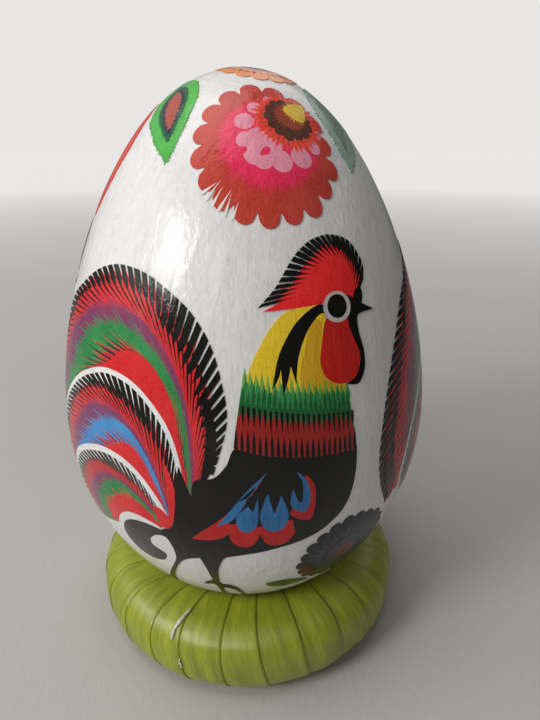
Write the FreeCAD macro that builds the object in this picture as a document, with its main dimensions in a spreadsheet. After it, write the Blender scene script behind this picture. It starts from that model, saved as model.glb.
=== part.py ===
import FreeCAD, Part
import Sketcher
import math
import os

# A decorated Easter egg: a foam blank under a skin of white paper, with printed paper motifs glued
# round it, standing loose in a foam ring that is wrapped in satin ribbon.
# Millimetres, +Z up. The origin is the middle of the ring's underside, and the front is -Y.

DRIVING = {
    # The egg's outline is two cubic Bezier curves that meet at the widest level, turned about Z.
    # A handle is how far a control point stands from its end of the curve.
    "egg_height": 120.0,
    "egg_radius": 41.3,
    "widest_level": 48.7,
    "bottom_handle": 23.6,
    "lower_side_handle": 25.6,
    "upper_side_handle": 23.9,
    "top_handle": 25.9,
    "skin_thickness": 0.4,
    "motif_thickness": 0.3,
    "glue_gap": 0.05,
    # The ring is measured over its ribbon: a rounded section turned about Z.
    "ring_radius": 38.6,
    "ring_height": 17.5,
    "ring_width": 19.2,
    "ring_corner": 7.5,
    "ribbon_thickness": 0.6,
    "ribbon_turns": 26,
    "seat_gap": 0.05,
    # The outlines that the paper motifs are cut to.
    "rooster_size": 78.0,
    "rosette_radius": 13.0,
    "crown_radius": 8.0,
    "low_rosette_radius": 10.8,
    "leaf_length": 21.0,
    "leaf_width": 9.4,
    "low_leaf_length": 10.0,
    "low_leaf_width": 4.0,
    # The strand of set glue on the ring's shoulder.
    "strand_radius": 0.6,
    "strand_angle": 48.0,
}

doc = FreeCAD.newDocument("decorated_egg")
sheet = doc.addObject("Spreadsheet::Sheet", "dims")
subparts = []


def add_cell(row, alias, value):
    sheet.set(f"A{row}", alias)
    sheet.set(f"B{row}", str(value))
    sheet.setAlias(f"B{row}", alias)


def dim(alias):
    return float(getattr(sheet, alias))


def total(*aliases):
    """A sum of cells as a pair, its value now and its expression. A minus sign subtracts."""
    value = 0.0
    text = "0"
    for alias in aliases:
        name = alias.lstrip("-")
        sign = -1 if alias.startswith("-") else 1
        value += sign * dim(name)
        text += f" {'-' if sign < 0 else '+'} dims.{name}"
    return value, text


def lower_outline():
    """The egg's outline from its bottom up to its widest level, in the XZ plane."""
    curve = Part.BezierCurve()
    curve.setPoles([
        FreeCAD.Vector(0, 0, 0),
        FreeCAD.Vector(dim("bottom_handle"), 0, 0),
        FreeCAD.Vector(dim("egg_radius"), 0, dim("widest_level") - dim("lower_side_handle")),
        FreeCAD.Vector(dim("egg_radius"), 0, dim("widest_level")),
    ])
    return curve.toShape()


def find_seat_level():
    """The height of the egg's bottom when the egg rests on the ring's rounded inner lip."""
    outline = lower_outline()
    lip_radius = dim("ring_radius") - dim("ring_width") + dim("ring_corner")
    lip_level = dim("ring_height") - dim("ring_corner")
    reach = dim("ring_corner") + dim("seat_gap")
    low = 0.0
    high = dim("ring_height")
    while high - low > 0.0005:
        middle = (low + high) / 2
        lip_centre = Part.Vertex(lip_radius, 0, lip_level - middle)
        if outline.distToShape(lip_centre)[0] < reach:
            low = middle
        else:
            high = middle
    return high


def keep(feature, label):
    """Names a sub-part and marks it to be written out."""
    feature.Label = label
    subparts.append(feature)
    return feature


def attached_sketch(body, name, role):
    sketch = body.newObject("Sketcher::SketchObject", name)
    plane = [item for item in body.Origin.OriginFeatures if item.Role == role][0]
    sketch.AttachmentSupport = [(plane, "")]
    sketch.MapMode = "FlatFace"
    return sketch


def bind(sketch, constraint, expression):
    index = sketch.addConstraint(constraint)
    if expression:
        sketch.setExpression(f"Constraints[{index}]", expression)


def bind_point(sketch, geometry, point, x, y):
    """Holds a point of a sketch at two (value, expression) distances from the sketch's origin."""
    bind(sketch, Sketcher.Constraint("DistanceX", -1, 1, geometry, point, x[0]), x[1])
    bind(sketch, Sketcher.Constraint("DistanceY", -1, 1, geometry, point, y[0]), y[1])


def add_bezier(sketch, poles):
    """Adds a cubic whose four control points are pairs of (value, expression)."""
    curve = Part.BSplineCurve()
    points = [FreeCAD.Vector(x[0], y[0], 0) for x, y in poles]
    curve.buildFromPolesMultsKnots(points, [4, 4], [0, 1], False, 3)
    index = sketch.addGeometry(curve, False)
    sketch.exposeInternalGeometry(index)
    for number, (x, y) in enumerate(poles):
        bind_point(sketch, index + 1 + number, 3, x, y)


def egg_solid(name, inset):
    """A whole egg, smaller all round than the paper's outside by inset, a (value, expression)."""
    body = doc.addObject("PartDesign::Body", name)
    sketch = attached_sketch(body, name + "_outline", "XZ_Plane")
    upper_height = dim("egg_height") - dim("widest_level")
    across = 1 - inset[0] / dim("egg_radius")
    below = 1 - inset[0] / dim("widest_level")
    above = 1 - inset[0] / upper_height
    across_text = f"(1 - ({inset[1]}) / dims.egg_radius)"
    below_text = f"(1 - ({inset[1]}) / dims.widest_level)"
    above_text = f"(1 - ({inset[1]}) / (dims.egg_height - dims.widest_level))"

    zero = (0, "")
    wide = (dim("egg_radius") * across, f"dims.egg_radius * {across_text}")
    level = (dim("widest_level"), "dims.widest_level")
    bottom = inset
    top = (dim("egg_height") - inset[0], f"dims.egg_height - ({inset[1]})")
    bottom_reach = (dim("bottom_handle") * across, f"dims.bottom_handle * {across_text}")
    top_reach = (dim("top_handle") * across, f"dims.top_handle * {across_text}")
    lower_side = (
        level[0] - dim("lower_side_handle") * below,
        f"dims.widest_level - dims.lower_side_handle * {below_text}",
    )
    upper_side = (
        level[0] + dim("upper_side_handle") * above,
        f"dims.widest_level + dims.upper_side_handle * {above_text}",
    )
    add_bezier(sketch, [(zero, bottom), (bottom_reach, bottom), (wide, lower_side), (wide, level)])
    add_bezier(sketch, [(wide, level), (wide, upper_side), (top_reach, top), (zero, top)])
    ends = (FreeCAD.Vector(0, top[0], 0), FreeCAD.Vector(0, bottom[0], 0))
    axis = sketch.addGeometry(Part.LineSegment(*ends), False)
    bind_point(sketch, axis, 1, zero, top)
    bind_point(sketch, axis, 2, zero, bottom)

    turned = body.newObject("PartDesign::Revolution", name + "_turned")
    turned.Profile = sketch
    turned.ReferenceAxis = (sketch, ["V_Axis"])
    turned.Angle = 360
    body.setExpression("Placement.Base.z", "dims.seat_level")
    return body


def difference(name, base, tool):
    cut = doc.addObject("Part::Cut", name)
    cut.Base = base
    cut.Tool = tool
    return cut


def ring_solid(name, inset, angle="360"):
    """The ring through an angle, smaller all round than the ribbon's outside by inset."""
    body = doc.addObject("PartDesign::Body", name)
    sketch = attached_sketch(body, name + "_section", "XZ_Plane")
    inner = (
        dim("ring_radius") - dim("ring_width") + inset[0],
        f"dims.ring_radius - dims.ring_width + ({inset[1]})",
    )
    outer = (dim("ring_radius") - inset[0], f"dims.ring_radius - ({inset[1]})")
    bottom = inset
    top = (dim("ring_height") - inset[0], f"dims.ring_height - ({inset[1]})")
    corner = (dim("ring_corner") - inset[0], f"dims.ring_corner - ({inset[1]})")

    def shifted(edge, sign):
        """A corner's distance in from an edge of the section."""
        text = f"{edge[1]} {'+' if sign > 0 else '-'} ({corner[1]})"
        return edge[0] + sign * corner[0], text

    left, right = shifted(inner, 1), shifted(outer, -1)
    low, high = shifted(bottom, 1), shifted(top, -1)
    turn = math.pi / 2
    for centre_x, centre_y, quarter in (
        (left, low, 2), (right, low, 3), (right, high, 0), (left, high, 1),
    ):
        circle = Part.Circle(
            FreeCAD.Vector(centre_x[0], centre_y[0], 0), FreeCAD.Vector(0, 0, 1), corner[0]
        )
        arc = Part.ArcOfCircle(circle, quarter * turn, (quarter + 1) * turn)
        index = sketch.addGeometry(arc, False)
        bind(sketch, Sketcher.Constraint("Radius", index, corner[0]), corner[1])
        bind_point(sketch, index, 3, centre_x, centre_y)
    sides = (
        (left, bottom, right, bottom),
        (outer, low, outer, high),
        (right, top, left, top),
        (inner, high, inner, low),
    )
    for before, (start_x, start_y, end_x, end_y) in enumerate(sides):
        start = FreeCAD.Vector(start_x[0], start_y[0], 0)
        end = FreeCAD.Vector(end_x[0], end_y[0], 0)
        line = sketch.addGeometry(Part.LineSegment(start, end), False)
        after = (before + 1) % len(sides)
        sketch.addConstraint(Sketcher.Constraint("Tangent", before, 2, line, 1))
        sketch.addConstraint(Sketcher.Constraint("Tangent", line, 2, after, 1))

    turned = body.newObject("PartDesign::Revolution", name + "_turned")
    turned.Profile = sketch
    turned.ReferenceAxis = (sketch, ["V_Axis"])
    turned.setExpression("Angle", angle)
    return body


def circle_outline(sketch, radius):
    circle = Part.Circle(FreeCAD.Vector(0, 0, 0), FreeCAD.Vector(0, 0, 1), dim(radius))
    index = sketch.addGeometry(circle, False)
    sketch.addConstraint(Sketcher.Constraint("Coincident", index, 3, -1, 1))
    bind(sketch, Sketcher.Constraint("Radius", index, dim(radius)), f"dims.{radius}")


def leaf_outline(sketch, length, width):
    """Two equal arcs that meet in a point at each end of the leaf, along the sketch's Y."""
    half_length, half_width = dim(length) / 2, dim(width) / 2
    radius = (half_length**2 + half_width**2) / (2 * half_width)
    radius_text = f"(dims.{length} * dims.{length} + dims.{width} * dims.{width}) / (4 * dims.{width})"
    for side in (-1, 1):
        points = [
            FreeCAD.Vector(0, -side * half_length, 0),
            FreeCAD.Vector(side * half_width, 0, 0),
            FreeCAD.Vector(0, side * half_length, 0),
        ]
        index = sketch.addGeometry(Part.Arc(*points), False)
        for point, sign in ((1, -side), (2, side)):
            tip = (sign * half_length, f"{sign} * dims.{length} / 2")
            bind_point(sketch, index, point, (0, ""), tip)
        bind(sketch, Sketcher.Constraint("Radius", index, radius), radius_text)


# A rooster facing the viewer's right, in shares of its height: how far right of its middle, and how
# far above its toes. The first point is the top of its comb, and the outline goes clockwise.
ROOSTER_POINTS = [
    (0.30, 1.00), (0.38, 0.92), (0.37, 0.87), (0.40, 0.84), (0.38, 0.81), (0.40, 0.74),
    (0.39, 0.67), (0.41, 0.54), (0.40, 0.38), (0.35, 0.32), (0.15, 0.25), (0.11, 0.20),
    (0.12, 0.03), (-0.07, 0.01), (-0.02, 0.17), (-0.12, 0.19), (-0.18, 0.26), (-0.38, 0.30),
    (-0.43, 0.33), (-0.46, 0.46), (-0.42, 0.68), (-0.33, 0.82), (-0.21, 0.91), (-0.10, 0.94),
    (0.02, 0.91), (0.10, 0.81), (0.14, 0.64), (0.13, 0.51), (0.17, 0.64), (0.23, 0.84),
    (0.19, 0.88), (0.24, 0.97),
]
ROOSTER_TOES_BELOW_WIDEST = 0.445


def rooster_outline(sketch, size):
    """A closed run of straight edges round the rooster's silhouette."""
    points = []
    for right, up in ROOSTER_POINTS:
        level = up - ROOSTER_TOES_BELOW_WIDEST
        x = (right * dim(size), f"{right:.2f} * dims.{size}")
        y = (level * dim(size), f"{level:.3f} * dims.{size}")
        points.append((x, y))
    for number, (x, y) in enumerate(points):
        next_x, next_y = points[(number + 1) % len(points)]
        ends = (FreeCAD.Vector(x[0], y[0], 0), FreeCAD.Vector(next_x[0], next_y[0], 0))
        line = sketch.addGeometry(Part.LineSegment(*ends), False)
        bind_point(sketch, line, 1, x, y)
    for line in range(len(points)):
        following = (line + 1) % len(points)
        sketch.addConstraint(Sketcher.Constraint("Coincident", line, 2, following, 1))


def motif(label, layer, outline, sizes, azimuth, tilt, roll=0):
    """A patch of the motif layer, cut by an outline that is pushed out from the egg's middle.

    azimuth turns the way it faces from the front towards +X, tilt lifts it, and roll turns the
    outline anticlockwise, all in degrees.
    """
    sketch = doc.addObject("Sketcher::SketchObject", label + "_outline")
    outline(sketch, *sizes)
    z_axis, x_axis = FreeCAD.Vector(0, 0, 1), FreeCAD.Vector(1, 0, 0)
    facing = FreeCAD.Rotation(z_axis, azimuth) * FreeCAD.Rotation(x_axis, 90 - tilt)
    turned = facing * FreeCAD.Rotation(z_axis, roll)
    sketch.Placement = FreeCAD.Placement(FreeCAD.Vector(0, 0, 0), turned)
    sketch.setExpression("Placement.Base.z", "dims.seat_level + dims.widest_level")
    prism = doc.addObject("Part::Extrusion", label + "_prism")
    prism.Base = sketch
    prism.DirMode = "Normal"
    prism.Solid = True
    prism.setExpression("LengthFwd", "dims.egg_height")
    patch = doc.addObject("Part::Common", label)
    patch.Base = layer
    patch.Tool = prism
    return keep(patch, label)


for row, (alias, value) in enumerate(DRIVING.items(), start=1):
    add_cell(row, alias, value)
doc.recompute()
add_cell(len(DRIVING) + 1, "seat_level", round(find_seat_level(), 2))
doc.recompute()

# The foam blank and the paper over it.
keep(egg_solid("foam_core", total("skin_thickness", "glue_gap")), "foam_core")
skin_outside = egg_solid("skin_outside", total())
skin_inside = egg_solid("skin_inside", total("skin_thickness"))
keep(difference("paper_skin", skin_outside, skin_inside), "paper_skin")

# The layer that every printed motif is a patch of.
motif_outside = egg_solid("motif_outside", total("-glue_gap", "-motif_thickness"))
motif_inside = egg_solid("motif_inside", total("-glue_gap"))
motif_layer = difference("motif_layer", motif_outside, motif_inside)

LEAF = ("leaf_length", "leaf_width")
LOW_LEAF = ("low_leaf_length", "low_leaf_width")
FAR_TURN = {"front": 0, "right": 125, "left": -118}
for side, turn in FAR_TURN.items():
    motif(f"rooster_{side}", motif_layer, rooster_outline, ("rooster_size",), turn - 21, 0)
    motif(f"low_rosette_{side}", motif_layer, circle_outline, ("low_rosette_radius",), turn + 32, -28)
    motif(f"low_leaf_{side}", motif_layer, leaf_outline, LOW_LEAF, turn + 14, -40, roll=72)

for side, azimuth in (("front", 11), ("right", 122), ("left", -128)):
    motif(f"rosette_{side}", motif_layer, circle_outline, ("rosette_radius",), azimuth, 69)
motif("crown_flower", motif_layer, circle_outline, ("crown_radius",), 56, 87)
motif("leaf_green_left", motif_layer, leaf_outline, LEAF, -45, 75, roll=34)
motif("leaf_red_left", motif_layer, leaf_outline, LEAF, -76, 67, roll=8)
motif("leaf_green_right", motif_layer, leaf_outline, LEAF, 65, 73, roll=-36)
motif("leaf_red_back", motif_layer, leaf_outline, LEAF, 176, 70)

# The ring: a foam core, the turns of its ribbon side by side round it, and a strand of set glue.
keep(ring_solid("ring_core", total("ribbon_thickness", "glue_gap")), "ring_core")
turn_outside = ring_solid("turn_outside", total(), "360 / dims.ribbon_turns")
turn_inside = ring_solid("turn_inside", total("ribbon_thickness"))
ribbon_turn = difference("ribbon_turn", turn_outside, turn_inside)
doc.recompute()
turns = []
for number in range(int(dim("ribbon_turns"))):
    turn = ribbon_turn.Shape.copy()
    turn.rotate(FreeCAD.Vector(0, 0, 0), FreeCAD.Vector(0, 0, 1), number * 360 / dim("ribbon_turns"))
    turns.append(turn)
ribbon_wrap = doc.addObject("Part::Feature", "ribbon_wrap")
ribbon_wrap.Shape = Part.makeCompound(turns)
keep(ribbon_wrap, "ribbon_wrap")

STRAND_AZIMUTH = -22.5
bend = doc.addObject("Part::Torus", "strand_bend")
bend.setExpression("Radius1", "dims.ring_corner")
bend.setExpression("Radius2", "dims.strand_radius")
bend.setExpression("Angle3", "dims.strand_angle")
facing = FreeCAD.Rotation(FreeCAD.Vector(0, 0, 1), STRAND_AZIMUTH - 90)
upright = FreeCAD.Rotation(FreeCAD.Vector(1, 0, 0), 90)
spot = facing.multVec(FreeCAD.Vector(dim("ring_radius") - dim("ring_corner"), 0, 0))
bend.Placement = FreeCAD.Placement(spot, facing * upright)
bend.setExpression("Placement.Base.z", "dims.ring_height - dims.ring_corner")
whole_ring = ring_solid("whole_ring", total())
keep(difference("glue_strand", bend, whole_ring), "glue_strand")

doc.recompute()

for item in doc.Objects:
    if "Invalid" in item.State or "Error" in item.State:
        raise RuntimeError(f"{item.Name} failed: {item.State}")
for part in subparts:
    if part.Shape.isNull() or not part.Shape.isValid() or part.Shape.Volume <= 0:
        raise RuntimeError(f"{part.Label} has no valid solid")

os.makedirs("parts", exist_ok=True)
for part in subparts:
    part.Shape.exportStep(f"parts/{part.Label}.step")
    box = part.Shape.BoundBox
    print(f"{part.Label:18s} {len(part.Shape.Solids)} solid(s) {part.Shape.Volume:10.1f} mm3"
          f"  z {box.ZMin:6.2f} to {box.ZMax:6.2f}")
print(f"egg's bottom is {dim('seat_level')} mm above the floor")
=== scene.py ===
import math
import random

import bpy
import numpy as np
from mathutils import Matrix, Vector
from mathutils.geometry import delaunay_2d_cdt


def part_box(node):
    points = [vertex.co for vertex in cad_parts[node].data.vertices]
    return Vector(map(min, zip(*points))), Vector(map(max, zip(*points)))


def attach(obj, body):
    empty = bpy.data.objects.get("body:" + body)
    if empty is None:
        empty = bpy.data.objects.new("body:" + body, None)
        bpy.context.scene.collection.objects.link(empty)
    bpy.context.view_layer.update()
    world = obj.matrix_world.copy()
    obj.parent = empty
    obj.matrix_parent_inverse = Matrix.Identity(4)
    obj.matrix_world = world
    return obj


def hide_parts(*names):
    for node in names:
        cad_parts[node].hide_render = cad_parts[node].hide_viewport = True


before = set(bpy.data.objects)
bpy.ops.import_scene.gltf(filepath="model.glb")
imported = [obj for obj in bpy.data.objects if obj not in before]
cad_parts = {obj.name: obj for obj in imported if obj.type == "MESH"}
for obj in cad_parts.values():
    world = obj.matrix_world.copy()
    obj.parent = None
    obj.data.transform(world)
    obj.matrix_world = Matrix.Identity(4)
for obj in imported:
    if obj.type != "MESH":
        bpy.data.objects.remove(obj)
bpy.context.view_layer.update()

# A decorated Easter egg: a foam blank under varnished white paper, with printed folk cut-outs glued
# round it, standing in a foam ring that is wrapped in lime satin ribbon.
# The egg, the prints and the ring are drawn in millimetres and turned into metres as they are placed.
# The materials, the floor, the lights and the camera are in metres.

MM = 0.001
DRAWS = random.Random(7)


# ---------------------------------------------------------------- the egg's surface

paper_low, paper_high = (np.array(corner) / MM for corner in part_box("paper_skin"))
EGG_BOTTOM = paper_low[2]
EGG_HEIGHT = paper_high[2] - paper_low[2]
EGG_RADIUS = (paper_high[0] - paper_low[0]) / 2
WIDEST_LEVEL = 48.7
OUTLINE_STEPS = 400
BOTTOM_HANDLE = 23.6
LOWER_SIDE_HANDLE = 25.6
UPPER_SIDE_HANDLE = 23.9
TOP_HANDLE = 25.9
MIDDLE = np.array([0, 0, EGG_BOTTOM + WIDEST_LEVEL])


def unit(vectors):
    """The same directions, each one long."""
    return vectors / np.linalg.norm(vectors, axis=1, keepdims=True)


def bezier(ends, steps):
    """A cubic Bezier's points, and its direction at each."""
    a, b, c, d = (np.array(end, float) for end in ends)
    share = np.linspace(0, 1, steps)[:, None]
    rest = 1 - share
    points = rest**3 * a + 3 * rest**2 * share * b + 3 * rest * share**2 * c + share**3 * d
    return points, unit(rest**2 * (b - a) + 2 * rest * share * (c - b) + share**2 * (d - c))


def egg_profile():
    """Up the egg's outline: its points, their tilt and reach from the middle, and their normals."""
    side = (EGG_RADIUS, 0)
    lower = [(0, -WIDEST_LEVEL), (BOTTOM_HANDLE, -WIDEST_LEVEL), (EGG_RADIUS, -LOWER_SIDE_HANDLE), side]
    top = EGG_HEIGHT - WIDEST_LEVEL
    upper = [side, (EGG_RADIUS, UPPER_SIDE_HANDLE), (TOP_HANDLE, top), (0, top)]
    low_points, low_ways = bezier(lower, OUTLINE_STEPS)
    high_points, high_ways = bezier(upper, OUTLINE_STEPS)
    points = np.concatenate([low_points, high_points[1:]])
    ways = np.concatenate([low_ways, high_ways[1:]])
    tilt = np.arctan2(points[:, 1], points[:, 0])
    return points, tilt, np.hypot(*points.T), np.stack([ways[:, 1], -ways[:, 0]], axis=1)


OUTLINE, TILT, REACH, OUTWARD = egg_profile()


def on_egg(directions):
    """Points on the paper, in millimetres from the egg's middle, and their outward normals."""
    ways = unit(directions)
    tilt = np.arcsin(np.clip(ways[:, 2], -1, 1))
    level = np.hypot(ways[:, 0], ways[:, 1])
    round_it = ways[:, :2] / np.maximum(level, 1e-9)[:, None]
    outward = np.interp(tilt, TILT, OUTWARD[:, 0])
    upward = np.interp(tilt, TILT, OUTWARD[:, 1])
    points = ways * np.interp(tilt, TILT, REACH)[:, None]
    return points, np.column_stack([round_it * outward[:, None], upward])


def make_waves(count, size, shortest, longest):
    """Shallow random waves whose crests mostly run up and down: the way, phase and size of each."""
    waves = []
    for _ in range(count):
        turn = DRAWS.uniform(0, math.tau)
        length = DRAWS.uniform(shortest, longest)
        rise = DRAWS.uniform(-0.35, 0.35)
        way = np.array([math.cos(turn), math.sin(turn), rise]) * math.tau / length
        waves.append((way, DRAWS.uniform(0, math.tau), size * length / longest))
    return waves


WAVES = make_waves(count=16, size=0.016, shortest=5, longest=24)
CREASE_RANGES = ((-math.pi, math.pi), (-20, 55), (-0.4, 0.4), (4, 9))    # turn, level, lean, length
CREASES = [[DRAWS.uniform(*ends) for ends in CREASE_RANGES] for _ in range(46)]
CREASE_HEIGHT = 0.028
CREASE_WIDTH = 0.8
SLOPE_STEP = 0.05


def ripple(points):
    """How far the paper stands off a true egg, in millimetres, with a few small creases."""
    stand = sum(size * np.sin(points @ way + phase) for way, phase, size in WAVES)
    azimuth = np.arctan2(points[:, 0], -points[:, 1])
    radius = np.hypot(points[:, 0], points[:, 1])
    for turn, level, lean, length in CREASES:
        up = points[:, 2] - level
        across = (np.mod(azimuth - turn + math.pi, math.tau) - math.pi) * radius - lean * up
        stand = stand + CREASE_HEIGHT * np.exp(-(across / CREASE_WIDTH)**2 - (up / length)**2)
    return stand


def rippled(directions, lift):
    """Places in metres, lift millimetres over the rippled paper, and the normals there."""
    points, normals = on_egg(directions)
    steps = SLOPE_STEP * np.eye(3)
    slope = np.stack([(ripple(points + step) - ripple(points - step)) / (2 * SLOPE_STEP)
                      for step in steps], axis=1)
    slope -= (slope * normals).sum(axis=1, keepdims=True) * normals
    return (points + normals * (ripple(points) + lift)[:, None] + MIDDLE) * MM, unit(normals - slope)


def towards(azimuth, tilt):
    """Directions from the egg's middle. Azimuth is 0 at the front and grows towards the right."""
    level = np.cos(tilt)
    return np.column_stack([np.sin(azimuth) * level, -np.cos(azimuth) * level, np.sin(tilt)])


def wrapped(turn):
    """Places a flat design on the egg by rolling it round: x runs round the egg, y is the height."""
    def directions(flat):
        azimuth = flat[:, 0] / EGG_RADIUS + math.radians(turn)
        return towards(azimuth, np.interp(flat[:, 1] - WIDEST_LEVEL, OUTLINE[:, 1], TILT))
    return directions


HALVINGS = 32


def pressed(azimuth, tilt, roll=0.0):
    """Places a flat design on the egg by pressing it on, facing that way from the egg's middle."""
    a, t, r = (math.radians(angle) for angle in (azimuth, tilt, roll))
    facing = np.array([math.sin(a) * math.cos(t), -math.cos(a) * math.cos(t), math.sin(t)])
    level = np.array([math.cos(a), math.sin(a), 0])
    rising = np.cross(facing, level)
    right = math.cos(r) * level + math.sin(r) * rising
    up = math.cos(r) * rising - math.sin(r) * level

    def directions(flat):
        start = flat[:, :1] * right + flat[:, 1:2] * up
        near = np.zeros(len(flat))
        far = np.full(len(flat), EGG_HEIGHT)
        for _ in range(HALVINGS):
            guess = (near + far) / 2
            spot = start + guess[:, None] * facing
            inside = np.linalg.norm(spot, axis=1) < np.linalg.norm(on_egg(spot)[0], axis=1)
            near = np.where(inside, guess, near)
            far = np.where(inside, far, guess)
        return start + near[:, None] * facing
    return directions


# ---------------------------------------------------------------- drawing with outlines

def curve(points, closed=False, steps=6):
    """A smooth line through the points. A point given twice is a sharp corner."""
    p = np.array(points, float)
    if closed:
        p = np.concatenate([p[-1:], p, p[:2]])
    else:
        p = np.concatenate([p[:1], p, p[-1:]])
    spans = []
    share = np.arange(steps)[:, None] / steps
    for before, start, end, after in zip(p, p[1:], p[2:], p[3:]):
        if np.allclose(start, end):
            continue
        out = (end - before) / 2
        back = (after - start) / 2
        spans.append((2 * share**3 - 3 * share**2 + 1) * start + (share**3 - 2 * share**2 + share) * out
                     + (3 * share**2 - 2 * share**3) * end + (share**3 - share**2) * back)
    if not closed:
        spans.append(p[-1:])
    return np.concatenate(spans)


def lengths(line):
    """How far along a line each of its points is."""
    return np.concatenate([[0], np.cumsum(np.linalg.norm(np.diff(line, axis=0), axis=1))])


def along(line, shares):
    """Points at those shares of a line's length."""
    reach = lengths(line)
    at = np.asarray(shares) * reach[-1]
    return np.column_stack([np.interp(at, reach, line[:, 0]), np.interp(at, reach, line[:, 1])])


def between(first, second, share, count=60):
    """A line that runs between two others."""
    steps = np.linspace(0, 1, count)
    return (1 - share) * along(first, steps) + share * along(second, steps)


def ellipse(middle, radii, count=28):
    turns = np.arange(count) / count * math.tau
    return np.column_stack([middle[0] + radii[0] * np.cos(turns), middle[1] + radii[1] * np.sin(turns)])


def scallops(middle, radius, lobes, depth, wobble=0.0, steps=8):
    """A round outline of half-round lobes, each reaching a little more or less than the last."""
    points = []
    for lobe in range(lobes):
        reach = radius * (1 + DRAWS.uniform(-wobble, wobble))
        for step in range(steps):
            share = step / steps
            turn = (lobe + share) / lobes * math.tau
            out = reach - depth * (1 - math.sqrt(math.sin(math.pi * share)))
            points.append((middle[0] + out * math.cos(turn), middle[1] + out * math.sin(turn)))
    return np.array(points)


class Design:
    """Flat shapes of ink, each lying over the ones before it."""

    def __init__(self):
        self.shapes = []

    def fill(self, ink, outline):
        self.shapes.append((ink, np.array(outline, float)))

    def smooth(self, ink, points):
        self.fill(ink, curve(points, closed=True))

    def stroke(self, ink, blunt, tip, width, body=0.4, waist=0.4, end=None):
        """One stroke: a bar for its body's share, then narrowed to its waist and drawn out to a tip.

        Its blunt end is round, or cut along the end vector, which is half as long as the cut.
        """
        blunt, tip = np.array(blunt), np.array(tip)
        way = (tip - blunt) / np.linalg.norm(tip - blunt)
        side = np.array([-way[1], way[0]]) * width / 2
        full = blunt + (tip - blunt) * body
        thin = blunt + (tip - blunt) * (body + (1 - body) * 0.4)
        shoulder = blunt + way * width * 0.3
        round_end = [shoulder - side, blunt - side * 0.6, blunt - way * width * 0.12, blunt + side * 0.6,
                     shoulder + side]
        if end is not None:
            end = end * math.copysign(1, end @ side)
            round_end = [blunt - end, blunt + end]
        narrow = side * waist
        self.fill(ink, [*round_end, full + side, thin + narrow, tip, thin - narrow, full - side])

    def hatch(self, ink, blunt, tips, count, cover, slant=(0, 0), ragged=0.3, body=0.4, waist=0.4,
              shift=0.5, cut=False):
        """Strokes side by side from one line to another, each filling that share of its room.

        Slant moves their tips on along the line, by its first value at the start and its second at
        the end. Shift places them within their shares of the line. Cut strokes end along the line.
        """
        shares = (np.arange(count) + shift) / count
        first, last = slant
        starts = along(blunt, shares)
        ends = along(tips, np.clip(shares + first + (last - first) * shares, 0, 1))
        steps = np.gradient(starts, axis=0)
        ways = unit(ends - starts)
        rooms = np.abs(steps[:, 0] * ways[:, 1] - steps[:, 1] * ways[:, 0])
        for start, end, room, step in zip(starts, ends, rooms, steps):
            reach = 1 + DRAWS.uniform(-ragged, ragged) * 0.5
            filled = cover * DRAWS.uniform(0.9, 1.1)
            self.stroke(ink, start, start + (end - start) * reach, filled * room, body, waist,
                        step * filled / 2 if cut else None)

    def teeth(self, ink, first, second, start, stop, count, cover, **looks):
        """Strokes from one share of the way between two lines to another share of it."""
        self.hatch(ink, between(first, second, start), between(first, second, stop), count, cover, **looks)

    def burst(self, ink, middle, near, far, count, cover, ragged=0.3, steps=40):
        """Strokes all round, from one ellipse out to a wider one."""
        self.hatch(ink, ellipse(middle, near, steps), ellipse(middle, far, steps), count, cover,
                   ragged=ragged)


# ---------------------------------------------------------------- the printed designs

BACK_LEAN = 0.55        # how far the bands lean back, for each bit that the rim's bars lean on


def fan(art, rim, fringe, bands, root, fringe_ink, strokes, cover, slant, halo=0.0):
    """A sickle feather: barred round its rim, with bands of colour that all run down to its root."""
    if halo:
        steps = np.linspace(0, 1, 60)
        outer = along(rim, steps)
        away = unit(outer - along(fringe, steps))
        art.fill("white", np.concatenate([outer + away * halo, [root]]))
    first_ink = bands[0][0]
    back = tuple(-lean * BACK_LEAN for lean in slant)
    art.fill(first_ink, np.concatenate([between(rim, fringe, 0.7), [root]]))
    art.teeth(first_ink, rim, fringe, 0.85, 0.25, strokes, 0.7, slant=back, ragged=0.4, body=0.2,
              waist=0.5, shift=1.0)
    previous = fringe
    for ink, line, count in bands[1:]:
        art.fill(ink, np.concatenate([line, [root]]))
        art.teeth(ink, line, previous, -0.1, 0.6, count, 0.85, slant=back, ragged=0.9, body=0.3,
                  waist=0.5)
        previous = line
    deep = between(fringe, bands[1][1], 0.8)
    art.hatch(fringe_ink, between(rim, fringe, 0.6), deep, strokes, 0.3, slant=slant, ragged=0.4,
              body=0.5, waist=0.6)
    art.hatch(fringe_ink, rim, between(rim, fringe, 1.1), strokes, cover, slant=slant, ragged=0.15,
              body=0.7, waist=0.5, cut=True)


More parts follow.
